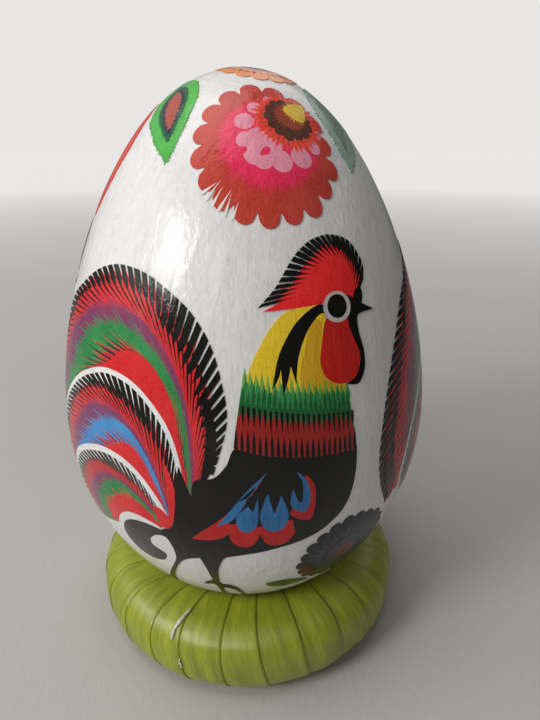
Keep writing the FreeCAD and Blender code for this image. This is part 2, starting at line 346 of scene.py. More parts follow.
def first_fan(art):
    """The tallest sickle feather."""
    rim = curve([
        (-57, 37), (-61, 44), (-62.3, 52), (-60.5, 61), (-56.5, 70), (-50, 78), (-43.5, 81.8), (-37, 85.2),
        (-29.5, 87), (-21.7, 86.5), (-15.5, 84.2), (-10.5, 81.3), (-6.3, 76.5), (-4, 70.3), (-3, 63),
        (-5.6, 53)])
    fringe = curve([
        (-53, 40), (-56.5, 46), (-57.5, 54), (-55.5, 62), (-51.5, 70), (-45.5, 77.5), (-40, 80.8),
        (-36, 82.5), (-30, 83.8), (-24, 83.6), (-19.5, 82), (-15.5, 79), (-12, 74.5), (-9, 69), (-7.4, 62),
        (-7.2, 55)])
    violet = curve([
        (-49.5, 40), (-52.5, 48), (-52.5, 57), (-50, 65), (-45, 72), (-40, 76), (-35, 78.5), (-28, 80.1),
        (-22, 79.3), (-17.5, 76.8), (-12.5, 71), (-10.2, 65), (-9.2, 57), (-9.5, 49)])
    green = curve([
        (-46, 41), (-48.5, 50), (-47, 58), (-42, 64.5), (-39, 70), (-36, 73.7), (-31, 76.5), (-25, 77.2),
        (-20, 75.5), (-15, 72), (-11.8, 67), (-10.2, 60), (-9.8, 49)])
    core = curve([
        (-41, 48), (-41, 57), (-37, 64), (-33, 68.3), (-28.5, 71), (-25.5, 73.3), (-21.5, 73.6),
        (-17.5, 71.8), (-14.2, 68), (-12.2, 63), (-10.8, 55), (-10.2, 49)])
    bands = [("red", rim, 0), ("violet", violet, 84), ("green", green, 76), ("red", core, 54)]
    fan(art, rim, fringe, bands, (-12, 46), "black", 54, 0.7, (0.05, 0.055))
    art.teeth("violet_black", core, green, -0.1, 0.9, 44, 0.5, slant=(-0.02, -0.045), ragged=0.5)
    right = curve([(-7.6, 68.5), (-6.2, 66.5), (-5.2, 63), (-4.9, 59), (-6, 53.5)])
    left = curve([(-8.2, 50), (-7.0, 57), (-6.7, 62), (-7.2, 65.5)])
    art.fill("black", np.concatenate([right, left]))


def second_fan(art):
    """The middle sickle feather, edged in white."""
    rim = curve([
        (-50, 36), (-52.5, 42), (-51.5, 49), (-48, 55), (-42.5, 61), (-38.3, 64.3), (-34, 66.7),
        (-28.5, 68.3), (-22.7, 67.6), (-18, 64.8), (-14.3, 60.3), (-12.4, 54.5), (-12, 49)])
    fringe = curve([
        (-46.5, 38), (-48, 43), (-46.5, 50), (-43.5, 55.5), (-39.5, 60.5), (-36, 62.8), (-32, 64.7),
        (-28, 65.2), (-24, 64.1), (-20, 61.8), (-17, 58.5), (-14.5, 54), (-13, 49)])
    violet = curve([
        (-43, 38), (-44, 45), (-41, 52), (-37, 57.5), (-33, 61), (-28, 62.2), (-23, 61), (-19.5, 58),
        (-17, 54), (-15.4, 49.5), (-14.3, 44.5)])
    blue = curve([
        (-39, 40), (-39.5, 46), (-36.5, 52), (-32.5, 56.2), (-29.5, 59), (-26, 60), (-22.5, 59.6),
        (-19.4, 56.8), (-17, 52.8), (-15.5, 48.5), (-14.6, 44)])
    core = curve([
        (-34, 43), (-32.5, 49), (-29, 53.2), (-25.5, 55.6), (-22, 56.4), (-19.4, 54.4), (-17.6, 51.2),
        (-16.2, 47.8), (-15, 44)])
    bands = [("red", rim, 0), ("violet", violet, 60), ("blue", blue, 50), ("red", core, 30)]
    fan(art, rim, fringe, bands, (-14, 41), "black", 40, 0.74, (0.05, 0.07), halo=1.0)
    art.teeth("violet", core, blue, 0.05, 0.85, 34, 0.5, slant=(-0.02, -0.045))
    art.smooth("red", [
        (-14.6, 54), (-13.3, 51.5), (-12.5, 47), (-13.2, 42), (-14, 39.6), (-14.6, 42), (-14.3, 47)])


def third_fan(art):
    """The lowest sickle feather, edged in white."""
    rim = curve([
        (-43, 31), (-44.5, 36), (-43.5, 42), (-40.5, 46.8), (-36.3, 50), (-32, 51.9), (-28, 52.6),
        (-24, 52), (-20.5, 50), (-17.6, 46.3), (-15.8, 42.2)])
    fringe = curve([
        (-39.5, 32), (-41, 36.5), (-40, 41.5), (-37.5, 45.2), (-34, 48.3), (-30, 49.9), (-26, 49.9),
        (-22, 48.5), (-19, 46.2), (-16.3, 42.2)])
    violet = curve([
        (-36, 33), (-37, 38), (-35, 43), (-31.5, 46.8), (-27.5, 48.4), (-23, 47.6), (-19.5, 45.2),
        (-16.6, 41.8)])
    green = curve([
        (-33, 34), (-33.5, 39), (-31.8, 43), (-29, 45.8), (-26, 47.2), (-22.5, 46.6), (-19.5, 44.4),
        (-17, 41.6)])
    core = curve([
        (-31, 35), (-31, 38.5), (-29, 41.5), (-26, 43.9), (-22.5, 44.5), (-19.8, 43.2), (-17.6, 41)])
    bands = [("red", rim, 0), ("violet", violet, 40), ("green", green, 32), ("red", core, 20)]
    fan(art, rim, fringe, bands, (-15.2, 40), "soft_black", 30, 0.72, (0.055, 0.075), halo=1.3)
    art.smooth("red", [(-17.4, 44.6), (-15.6, 44), (-14, 41.6), (-13.8, 39.2), (-15.6, 39.4), (-17, 41)])


def lowest_feather(art):
    """A dark drop with a white curl in it, at the foot of the tail."""
    art.smooth("white", [
        (-30, 31), (-29.3, 35), (-27.6, 38.3), (-24.5, 40.6), (-20.5, 40.7), (-16.5, 39), (-16, 36),
        (-17, 29), (-22, 26.8), (-27, 27.5)])
    art.smooth("soft_black", [
        (-28.3, 32.5), (-27, 36.5), (-24, 38.8), (-20, 39.4), (-15.5, 38.6), (-15.5, 38.6), (-15.5, 36.5),
        (-17, 30.5), (-19.2, 28.3), (-22.5, 27.3), (-26.2, 28.4)])
    art.smooth("white", [
        (-16.4, 37), (-18.6, 36.7), (-20.3, 35), (-20.3, 33.2), (-18.6, 32), (-17.6, 30.8), (-19.5, 27.5),
        (-22.5, 24.3), (-18, 26.2), (-15.8, 29), (-15.2, 32), (-15.4, 35)])


def body(art):
    """The black body, with its legs and feet."""
    art.fill("black", curve([
        (-1.4, 58.6), (-3.2, 55.2), (-5.6, 52.6), (-9.0, 51.8), (-9.7, 48.4), (-9.7, 48.4), (-10.4, 50.6),
        (-11.8, 54.4), (-11.8, 54.4), (-12.7, 50), (-13.1, 45), (-14.4, 40.4), (-17, 38.6), (-15.6, 36),
        (-15.1, 32), (-16.4, 28.6), (-20, 22.8), (-24.5, 16), (-24.5, 16), (-22.2, 15.6), (-22.2, 15.6),
        (-18.2, 23.5), (-15, 29), (-12.6, 31.4), (-9.6, 32.6), (-9.6, 32.6), (-8.8, 29), (-8.2, 24),
        (-8.2, 24), (-10.6, 22), (-10.6, 21.3), (-7.9, 21.2), (-7.5, 12.5), (-6.3, 12.5), (-6.4, 19.5),
        (-4.2, 19.6), (-2.4, 17), (-1.6, 13.2), (-0.9, 13.4), (-1.6, 18), (-3.6, 21.4), (-6.5, 22.4),
        (-6.6, 25), (-6.3, 28), (-5.5, 31), (-4.3, 33.2), (-2, 34), (1.5, 34.8), (6, 35.9), (11, 37),
        (14.5, 38.3), (16.8, 39.9), (19, 42), (20.6, 45.4), (21.4, 50), (21.6, 55.6), (21.6, 55.6),
        (12, 57.2), (4, 58)], closed=True))


def neck(art):
    """Yellow hackles with black points over them, and a green and a red band below."""
    art.smooth("yellow", [
        (12, 81.5), (8, 80.7), (5, 78.2), (2.6, 74.8), (0.9, 71.5), (-0.2, 68.5), (-0.8, 65.5),
        (-0.8, 65.5), (20.3, 63.5), (20.3, 63.5), (19.9, 66), (19.4, 68), (17.3, 69), (15.6, 71.5),
        (15.4, 75), (16.6, 79.5), (15, 81.6)])
    # The amber over the right side of the yellow is partly the print's orange and partly painted shade,
    # darker towards the right.
    art.smooth("amber", [
        (13.5, 79), (11.5, 74), (10.5, 70.5), (10.8, 66), (10.8, 66), (19.6, 65), (19.6, 65), (19.3, 67.6),
        (16.5, 68.8), (14.9, 71.5), (14.9, 74.5), (15.8, 78.5)])
    green_top = curve([(-0.3, 69.2), (3, 68.2), (8, 67.2), (14, 66.4), (20.2, 65.5)])
    red_top = curve([(-1.1, 64.2), (3, 63.2), (8, 62.2), (14, 61.2), (20.7, 60.4)])
    body_top = curve([(-1.9, 59), (2, 57.8), (6, 57), (12, 56), (21.6, 55.4)])
    art.fill("green", np.concatenate([green_top, red_top[::-1]]))
    art.fill("neck_red", np.concatenate([red_top, body_top[::-1] - (0, 0.4)]))
    up = np.array([0, 1.0])
    art.hatch("leaf_green", green_top - up * 0.2, green_top + up * 2.8, 19, 0.75, ragged=0.6, waist=0.6)
    art.hatch("green", green_top - up * 0.6, green_top + up * 1.7, 19, 0.9, ragged=0.6, shift=0.8)
    art.fill("deep_green", np.concatenate([between(green_top, red_top, 0.45), red_top[::-1]]))
    art.hatch("deep_green", between(green_top, red_top, 0.5), green_top + up * 0.8, 22, 0.7, ragged=0.7)
    art.hatch("neck_red", red_top - up * 0.6, red_top + up * 1.5, 22, 0.65, ragged=0.5)
    art.hatch("black", red_top + up * 2.2, red_top - up * 1.6, 22, 0.5, shift=1.0, waist=0.6)
    art.hatch("black", body_top - up * 0.6, body_top + up * 3.6, 22, 0.62, ragged=0.25, waist=0.7)
    art.smooth("black", [
        (16.4, 81.5), (14, 81.2), (10.5, 79.2), (8, 76.4), (6.3, 73.2), (5.2, 68.4), (5.2, 68.4),
        (6.5, 70.5), (6.9, 71.8), (6.9, 71.8), (7.2, 67.3), (7.2, 67.3), (8.2, 70), (8.8, 72.2),
        (8.8, 72.2), (9.7, 69), (9.7, 69), (10.4, 73.5), (12.5, 77.5), (15.2, 79.9), (17, 80.2)])


def head(art):
    """The comb, the wattle, the beak and the eye."""
    comb_rim = curve([
        (2.9, 81.7), (6.6, 84.7), (9.9, 88.2), (12.4, 90.2), (16.3, 91.9), (21.3, 92.3), (26, 91),
        (28.4, 88), (28.7, 86.2), (27.9, 84.3)])
    comb_fringe = curve([
        (10.6, 82.9), (12.9, 85.2), (15, 86.9), (17.3, 88.1), (20, 88.7), (22.8, 88.4), (24.4, 87),
        (24.9, 85), (24.7, 83.2), (24.2, 81.2)])
    red_edge = between(comb_rim, comb_fringe, 0.55)
    art.fill("comb_red", np.concatenate([[(4, 81.2)], red_edge, [(24.2, 81.2), (20, 83), (16, 81.6)]]))
    art.teeth("comb_red", comb_rim, comb_fringe, 0.8, 0.25, 21, 0.8, slant=(-0.01, -0.04), body=0.2,
              shift=1.0)
    art.hatch("black", comb_rim, comb_fringe, 24, 0.74, slant=(0, 0.04), ragged=0.15, body=0.42, cut=True)
    art.smooth("black", [(24.0, 81.2), (24.7, 82.8), (26.2, 83.4), (26.8, 82.2), (26, 80.6)])
    art.smooth("wattle_red", [
        (17, 79.2), (15.6, 76.5), (14.8, 73.5), (14.7, 71.8), (15.6, 69.5), (17.8, 68.1), (20.5, 67.9),
        (22.6, 69), (23.7, 71.5), (23.3, 74), (22.2, 76.5), (21.8, 79.2)])
    art.smooth("black", [
        (22, 82.4), (26, 80.6), (29.3, 79.1), (29.3, 79.1), (26.3, 79.1), (24.4, 78.6), (24.2, 76),
        (24.9, 72.5), (24.5, 69.3), (22.7, 67.2), (20, 67.6), (20, 67.6), (22, 68.4), (23.5, 70.2),
        (23.7, 72.4), (22.7, 75), (21.8, 78)])
    art.fill("pale_grey", ellipse((19.7, 80.8), (3.3, 2.55)))
    art.fill("black", ellipse((19.7, 80.9), (2.35, 1.95)))


def wing(art):
    """Feathers with blue middles and red tips, hanging from under the neck, their blue and red darkened as
    painted shade.
    """
    art.smooth("wing_red", [
        (-10.6, 38.2), (-10.6, 38.2), (-8, 40.8), (-4, 44.4), (2, 51.4), (3.6, 53.4), (0, 47.5), (-3, 43.5),
        (-2.4, 42.2), (-3.5, 40), (-6.5, 38.4)])
    art.smooth("wing_blue", [
        (3.7, 53.6), (3.7, 53.6), (0, 49.8), (-5.4, 42), (-5.4, 42), (-2.2, 44), (0.6, 48.6)])
    art.smooth("wing_red", [
        (-2.6, 42.8), (-3.1, 40.3), (-2.5, 37.9), (-0.5, 36.7), (1.2, 37.2), (2.3, 39.2), (2.5, 42)])
    art.smooth("wing_blue", [
        (2.2, 49.8), (2.2, 49.8), (0.4, 47), (-1.4, 45), (-1.7, 43), (-0.9, 41.2), (0.5, 40.8), (1.8, 41.9),
        (2.3, 44.5)])
    art.smooth("black", [(0.1, 48.2), (1.35, 45.6), (1.35, 45.6), (2.3, 49.6)])
    art.smooth("black", [(1.9, 51.2), (-1.4, 47.9), (-1.4, 47.9), (0.6, 49)])
    art.smooth("wing_red", [
        (2.7, 42.2), (2.9, 39.6), (4, 37.5), (5.8, 36.8), (7.9, 37.4), (9.2, 39.5), (8.9, 41.8), (8, 43)])
    art.smooth("wing_blue", [
        (4, 49.6), (4, 49.6), (2.7, 45.5), (2.8, 43), (4, 41.1), (5.6, 40.6), (7.2, 41.5), (7.9, 43.8),
        (7.5, 46), (6.4, 48.8), (6.4, 48.8), (5.2, 44.8), (5.2, 44.8)])
    art.smooth("wing_red", [
        (11, 52.5), (11, 52.5), (12.7, 50), (13, 46.5), (12.8, 43.6), (12, 42.2), (10, 42.8), (8.2, 44.5),
        (9, 46.5)])
    art.smooth("wing_blue", [
        (8.6, 49.6), (8.2, 46.6), (9.5, 44.9), (11, 44.3), (11.8, 46), (11.9, 48.6), (11, 51.5),
        (9.3, 53.3), (9.3, 53.3), (10.4, 50)])
    art.smooth("black", [(8.9, 52.6), (8.7, 49.8), (9.6, 47.2), (10.3, 46.9), (10.5, 49.5), (10.1, 51.6)])


def rooster():
    """The whole bird, each part lying over the ones before it."""
    art = Design()
    for part in (first_fan, second_fan, third_fan, lowest_feather, body, neck, head, wing):
        part(art)
    return art


def rosette(radius):
    """A brick-red scalloped flower with a pink heart and a smaller fringed flower set off-centre."""
    art = Design()
    art.fill("brick", scallops((0.2, 0.2), radius, 17, 2.1, wobble=0.025))
    for turn, reach in ((206, 0.76), (212, 0.72), (218, 0.75), (224, 0.70), (230, 0.74), (236, 0.78)):
        out = np.array([math.cos(math.radians(turn)), math.sin(math.radians(turn))]) * radius
        aside = np.array([-out[1], out[0]]) * DRAWS.uniform(-0.05, 0.05)
        art.stroke("white", out * 1.0 + 0.2, out * reach + aside, 0.5, body=0.2)
    art.hatch("crimson", ellipse((0.8, 0.8), (7.4, 6.8), 60), ellipse((0.6, 0.6), (9.5, 8.9), 60), 90, 0.8,
              ragged=0.8)
    art.fill("crimson", ellipse((0.8, 0.8), (7.9, 7.3), 48))
    blobs = [
        ((-3.0, 4.4), 1.7), ((-3.4, 0.9), 1.5), ((-2.0, -1.6), 2.0), ((-0.7, -2.6), 1.8), ((2.4, -2.9),
        1.9), ((6.1, -1.7), 1.9), ((8.8, 0.8), 1.3), ((-0.8, 7.0), 1.3), ((1.9, 9.0), 0.9), ((10.0, 3.8),
        0.9), ((1.0, -0.6), 1.9), ((-1.2, 1.2), 1.8)]
    for middle, size in blobs:
        art.fill("pink", ellipse(middle, (size, size * 0.95), 18))
    art.smooth("crimson", [(-1.2, -1.9), (-0.2, -0.6), (0.7, -0.9), (0.2, -1.9)])
    art.smooth("crimson", [(-5.2, -0.2), (-3.6, -0.3), (-3.2, -0.9), (-4.4, -1.6)])
    middle = (4.7, 4.9)
    art.burst("scarlet", middle, (4.6, 4.5), (6.6, 6.3), 40, 0.95, 0.6, steps=48)
    art.fill("scarlet", ellipse(middle, (5.2, 5.0), 36))
    art.burst("brick", middle, (3.8, 3.7), (5.5, 5.3), 30, 0.5, 0.6)
    art.fill("brown_black", scallops((4.9, 5.3), 4.4, 13, 0.55, wobble=0.03))
    art.burst("brown_red", (5.4, 5.9), (2.2, 2.1), (3.5, 3.3), 30, 0.8, 0.8)
    art.fill("brown_red", ellipse((5.4, 5.9), (2.6, 2.5), 24))
    art.burst("gold", (6.6, 7.2), (1.4, 1.4), (2.5, 2.4), 24, 0.8, 0.8, steps=30)
    art.smooth("gold", [(4.4, 7.0), (5.2, 8.4), (8.2, 9.7), (8.4, 7.4), (7.8, 5.5), (6.2, 5.5)])
    art.shapes = [(ink, outline * (1, 0.95)) for ink, outline in art.shapes]
    return art


def crown_flower(radius):
    """An orange flower with a peach, a grey-violet and a gold disc in it."""
    art = Design()
    art.fill("orange", scallops((0, 0), radius, 14, 1.0, wobble=0.03))
    art.burst("brick", (0, 0), (5, 5), (6.6, 6.6), 26, 0.6)
    art.fill("peach", scallops((0, 0), 5.3, 12, 0.6))
    art.fill("dusk", scallops((0.4, 0), 3.4, 10, 0.5))
    art.fill("gold", ellipse((0.4, 0), (1.3, 1.3), 18))
    return art


def low_rosette(radius):
    """A nearly black rosette with a slate fringe and a dull red heart."""
    art = Design()
    art.fill("night", scallops((0, 0), radius, 20, 1.3, wobble=0.02))
    art.smooth("plum", [(-9.4, -1.5), (-9.0, -4.4), (-6.6, -7.4), (-4.2, -8.4), (-5.2, -5.6), (-7.4, -3)])
    art.burst("slate", (0.2, 0), (5.6, 5.4), (8.4, 8.2), 30, 0.8, steps=50)
    art.fill("night", ellipse((0.2, 0), (5.4, 5.2), 32))
    art.fill("slate", scallops((0.2, 0), 4.6, 12, 0.6))
    art.fill("ember", ellipse((0.3, -0.4), (2.6, 2.4), 24))
    art.fill("slate", ellipse((0.3, -0.4), (0.9, 0.9), 14))
    return art


def leaf(length, width, inks):
    """A leaf pointed at both ends, with each ink a smaller leaf inside the last one, and ragged edges."""
    art = Design()
    for number, (ink, share) in enumerate(inks):
        half = width / 2 * share
        end = length / 2 * (0.25 + 0.75 * share)
        side = curve([(0, -end), (half * 0.55, -end * 0.6), (half * 0.96, -end * 0.1), (half, end * 0.2),
                      (half * 0.72, end * 0.65), (0, end)])
        other = side * (-1, 1)
        art.fill(ink, np.concatenate([side, other[::-1]]))
        for line, sign in ((side, 1), (other, -1)):
            tips = line + (sign * 0.3, -0.35)
            art.hatch(ink, line * (0.94, 0.98), tips, int(length * share * 2.2), 0.8, ragged=0.6)
    return art


# ---------------------------------------------------------------- materials

class Nodes:
    """The nodes of a material or world, with short names for the ones that are used over and over.

    Scales are in waves or cells a metre, and distances are in metres.
    """

    def __init__(self, owner):
        owner.use_nodes = True
        self.tree = owner.node_tree
        self.shader = self.tree.nodes.get("Principled BSDF")
        self.places = self.add("ShaderNodeTexCoord").outputs
        self.place = self.places["Object"]

    def add(self, kind, **settings):
        node = self.tree.nodes.new(kind)
        for key, value in settings.items():
            setattr(node, key, value)
        return node

    def feed(self, node, values):
        """Gives a node's inputs their values, each a number, a colour or another node's output."""
        for key, value in values.items():
            if isinstance(value, bpy.types.NodeSocket):
                self.tree.links.new(value, node.inputs[key])
            else:
                node.inputs[key].default_value = value
        return node.outputs

    def stretched(self, scale, turn=(0, 0, 0), source=None):
        node = self.add("ShaderNodeMapping")
        return self.feed(node, {"Scale": scale, "Rotation": turn, "Vector": source or self.place})["Vector"]

    def noise(self, scale, detail=2.0, source=None, roughness=0.5, distortion=0.0):
        return self.feed(self.add("ShaderNodeTexNoise"), {
            "Scale": scale, "Detail": detail, "Roughness": roughness, "Distortion": distortion,
            "Vector": source or self.place})["Fac"]

    def cells(self, scale, source=None, feature="F1"):
        node = self.add("ShaderNodeTexVoronoi", feature=feature)
        return self.feed(node, {"Scale": scale, "Vector": source or self.place})["Distance"]

    def spread(self, source, low, high, to_low=0.0, to_high=1.0):
        return self.feed(self.add("ShaderNodeMapRange"), {
            "Value": source, "From Min": low, "From Max": high, "To Min": to_low, "To Max": to_high
        })["Result"]

    def mix(self, amount, first, second):
        """Two colours mixed. The inputs of this kind of node share names, so they go by number."""
        first, second = ((*ink, 1) if isinstance(ink, tuple) else ink for ink in (first, second))
        return self.feed(self.add("ShaderNodeMix", data_type="RGBA"), {0: amount, 6: first, 7: second})[2]

    def times(self, first, second):
        node = self.add("ShaderNodeMath", operation="MULTIPLY")
        return self.feed(node, {0: first, 1: second})["Value"]

    def bump(self, height, distance, strength, under=None):
        values = {"Distance": distance, "Strength": strength, "Height": height}
        if under:
            values["Normal"] = under
        return self.feed(self.add("ShaderNodeBump"), values)["Normal"]

    def set(self, key, value):
        self.feed(self.shader, {key: value})


def varnish(nodes):
    """Gloss with the marks of the brush that laid it: fine streaks up the egg and small pits."""
    streaks = nodes.noise(620, 3, nodes.stretched((1, 1, 0.16)), roughness=0.6, distortion=0.4)
    pits = nodes.noise(1500, 2)
    swell = nodes.noise(150, 2, nodes.stretched((1, 1, 0.45)))
    normal = nodes.bump(streaks, 0.00030, 0.55)
    normal = nodes.bump(pits, 0.00006, 0.5, under=normal)
    nodes.set("Normal", nodes.bump(swell, 0.0006, 0.35, under=normal))
    nodes.set("Roughness", nodes.spread(nodes.noise(260, 3), 0.3, 0.7, 0.13, 0.26))
    nodes.set("Specular IOR Level", 0.30)
    nodes.set("IOR", 1.5)


def see_through(nodes, weight, radius):
    """Lets light in under the surface, as far as that for its red, green and blue."""
    nodes.set("Subsurface Weight", weight)
    nodes.set("Subsurface Radius", radius)
    nodes.set("Subsurface Scale", 1.0)


def paper_material():
    """White fibrous paper, a little see-through over the foam, under varnish."""
    material = bpy.data.materials.new("varnished_paper")
    nodes = Nodes(material)
    fibres = nodes.noise(900, 4, nodes.stretched((1, 1, 0.35), (0.5, 0.3, 0)), distortion=1.2)
    clouds = nodes.noise(130, 3)
    colour = nodes.mix(nodes.spread(fibres, 0.35, 0.7), (0.80, 0.79, 0.78), (0.71, 0.705, 0.695))
    colour = nodes.mix(nodes.spread(clouds, 0.35, 0.75, 0, 0.3), colour, (0.74, 0.735, 0.72))
    specks = nodes.spread(nodes.cells(420), 0.06, 0.02)
    nodes.set("Base Color", nodes.mix(nodes.times(specks, 0.5), colour, (0.52, 0.51, 0.50)))
    varnish(nodes)
    see_through(nodes, 0.12, (0.0012, 0.0011, 0.0010))
    return material


INKS = {
    "black": ((0.0040, 0.0040, 0.0036), (0.0075, 0.0070, 0.0062)),
    "soft_black": ((0.020, 0.020, 0.018), (0.042, 0.042, 0.038)),
    "pale_grey": ((0.48, 0.42, 0.41), (0.60, 0.55, 0.53)),
    "white": ((0.66, 0.655, 0.645), (0.76, 0.755, 0.745)),
    "red": ((0.58, 0.014, 0.018), (0.66, 0.032, 0.034)),
    "comb_red": ((0.78, 0.014, 0.018), (0.87, 0.032, 0.034)),
    "wattle_red": ((0.50, 0.014, 0.010), (0.58, 0.024, 0.016)),
    "scarlet": ((0.72, 0.035, 0.022), (0.80, 0.075, 0.045)),
    "faded_red": ((0.34, 0.075, 0.050), (0.42, 0.110, 0.080)),
    "brick": ((0.44, 0.034, 0.022), (0.52, 0.060, 0.040)),
    "crimson": ((0.70, 0.016, 0.070), (0.78, 0.035, 0.110)),
    "pink": ((0.70, 0.21, 0.30), (0.76, 0.29, 0.38)),
    "orange": ((0.70, 0.20, 0.060), (0.78, 0.30, 0.120)),
    "peach": ((0.72, 0.36, 0.20), (0.76, 0.44, 0.28)),
    "yellow": ((0.76, 0.52, 0.022), (0.82, 0.58, 0.036)),
    # Partly the print's orange and partly painted shade on the right of the neck.
    "amber": ((0.62, 0.33, 0.014), (0.68, 0.38, 0.022)),
    "gold": ((0.66, 0.42, 0.040), (0.74, 0.50, 0.070)),
    "green": ((0.018, 0.17, 0.042), (0.040, 0.26, 0.080)),
    "deep_green": ((0.010, 0.080, 0.022), (0.018, 0.120, 0.034)),
    "dark_green": ((0.016, 0.085, 0.040), (0.030, 0.120, 0.060)),
    "grass": ((0.060, 0.34, 0.050), (0.100, 0.44, 0.085)),
    "olive": ((0.036, 0.064, 0.010), (0.060, 0.095, 0.018)),
    "blue": ((0.030, 0.180, 0.46), (0.060, 0.280, 0.58)),
    # Darker copies of blue and red, as painted shade on the wing.
    "wing_blue": ((0.016, 0.105, 0.28), (0.034, 0.170, 0.38)),
    "wing_red": ((0.42, 0.008, 0.008), (0.50, 0.016, 0.014)),
    "violet": ((0.13, 0.040, 0.16), (0.24, 0.050, 0.10)),
    "brown_black": ((0.060, 0.020, 0.014), (0.090, 0.034, 0.022)),
    "night": ((0.006, 0.006, 0.012), (0.012, 0.013, 0.022)),
    "plum": ((0.080, 0.010, 0.022), (0.110, 0.018, 0.032)),
    "slate": ((0.022, 0.028, 0.054), (0.036, 0.045, 0.078)),
    "ember": ((0.16, 0.014, 0.014), (0.22, 0.030, 0.024)),
    "dusk": ((0.16, 0.13, 0.20), (0.22, 0.18, 0.26)),
    "violet_black": ((0.030, 0.022, 0.030), (0.055, 0.045, 0.045)),
    "neck_red": ((0.26, 0.012, 0.010), (0.36, 0.022, 0.018)),
    "leaf_green": ((0.12, 0.34, 0.050), (0.20, 0.42, 0.080)),
    "brown_red": ((0.24, 0.040, 0.020), (0.32, 0.060, 0.030)),
    "sage": ((0.26, 0.38, 0.28), (0.34, 0.46, 0.36)),
    "moss": ((0.14, 0.24, 0.16), (0.20, 0.30, 0.21)),
}


def ink_material(name, first, second):
    """Printing ink on thin paper: uneven cover, a fine printed grain and fibres showing through."""
    material = bpy.data.materials.new("ink_" + name)
    nodes = Nodes(material)
    cover = nodes.spread(nodes.noise(170, 3), 0.35, 0.65)
    colour = nodes.mix(cover, first, second)
    dots = nodes.cells(2300, nodes.stretched((1, 1, 1), (0.3, 0.5, 0.26)))
    lighter = tuple(channel * 1.15 + 0.002 for channel in second)
    colour = nodes.mix(nodes.spread(dots, 0.2, 0.6, 0, 0.5), colour, lighter)
    fibres = nodes.noise(1100, 4, nodes.stretched((1, 1, 0.3), (0.5, 0.3, 0)), distortion=1.2)
    pale = tuple(channel * 0.9 + 0.008 for channel in second)
    nodes.set("Base Color", nodes.mix(nodes.spread(fibres, 0.6, 0.8, 0, 0.5), colour, pale))
    varnish(nodes)
    return material


def foam_material(name, colour, bead):
    """Pressed foam beads of that size, with dark joints between them."""
    material = bpy.data.materials.new(name)
    nodes = Nodes(material)
    edges = nodes.cells(1 / bead, feature="DISTANCE_TO_EDGE")
    joint = tuple(channel * 0.7 for channel in colour)
    tone = nodes.mix(nodes.spread(edges, 0.0, 0.12), joint, colour)
    grime = nodes.spread(nodes.noise(90, 3), 0.3, 0.7, 0, 0.25)
    nodes.set("Base Color", nodes.mix(grime, tone, (0.6, 0.6, 0.56)))
    nodes.set("Roughness", nodes.spread(nodes.noise(700), 0.3, 0.7, 0.6, 0.85))
    nodes.set("Normal", nodes.bump(nodes.spread(edges, 0.0, 0.2), 0.0006, 0.6))
    return material


def satin_material():
    """Lime satin: fine threads along the ribbon, a twill across it, a soft sheen, and large light and dark
    patches that are partly painted sheen.
    """
    material = bpy.data.materials.new("lime_satin")
    nodes = Nodes(material)
    flat = nodes.add("ShaderNodeUVMap", uv_map="cloth").outputs["UV"]
    threads = nodes.noise(1.0, 2, nodes.stretched((260, 4200, 1), source=flat))
    wave = nodes.add("ShaderNodeTexWave", wave_type="BANDS", bands_direction="DIAGONAL")
    weave = nodes.stretched((1500, 1500, 1), source=flat)
    twill = nodes.feed(wave, {"Scale": 1.0, "Distortion": 0.6, "Vector": weave})["Fac"]
    # Large lighter and darker patches: partly the satin's own uneven tone, and partly painted sheen and
    # painted shade.
    tone_and_sheen_patches = nodes.noise(1.0, 3, nodes.stretched((60, 420, 1), source=flat))
    colour = nodes.mix(nodes.spread(tone_and_sheen_patches, 0.3, 0.7), (0.19, 0.225, 0.006), (0.41, 0.455, 0.016))
    colour = nodes.mix(nodes.spread(threads, 0.35, 0.7, 0, 0.5), colour, (0.11, 0.135, 0.004))
    nodes.set("Base Color", nodes.mix(nodes.spread(twill, 0, 1, 0, 0.22), colour, (0.42, 0.46, 0.025)))
    nodes.set("Roughness", nodes.spread(threads, 0.3, 0.7, 0.30, 0.42))
    nodes.set("Specular IOR Level", 0.8)
    nodes.set("Anisotropic", 0.65)
    nodes.set("Sheen Weight", 0.12)
    nodes.set("Sheen Roughness", 0.4)
    nodes.set("Sheen Tint", (0.85, 0.95, 0.45, 1))
    normal = nodes.bump(threads, 0.00010, 0.55)
    nodes.set("Normal", nodes.bump(twill, 0.00006, 0.4, under=normal))
    return material


def glue_material():
    """Cloudy glue that has set."""
    material = bpy.data.materials.new("set_glue")
    nodes = Nodes(material)
    cloud = nodes.noise(700, 3)
    colour = nodes.mix(nodes.spread(cloud, 0.3, 0.7), (0.66, 0.67, 0.56), (0.50, 0.52, 0.38))
    nodes.set("Base Color", colour)
    nodes.set("Roughness", nodes.spread(cloud, 0.3, 0.7, 0.2, 0.45))
    nodes.set("Normal", nodes.bump(nodes.noise(1300, 2), 0.0001, 0.5))
    see_through(nodes, 0.2, (0.001, 0.001, 0.0008))
    return material


ROOM = (0.80, 0.79, 0.775)
FADE_START, FADE_END = 0.12, 1.1


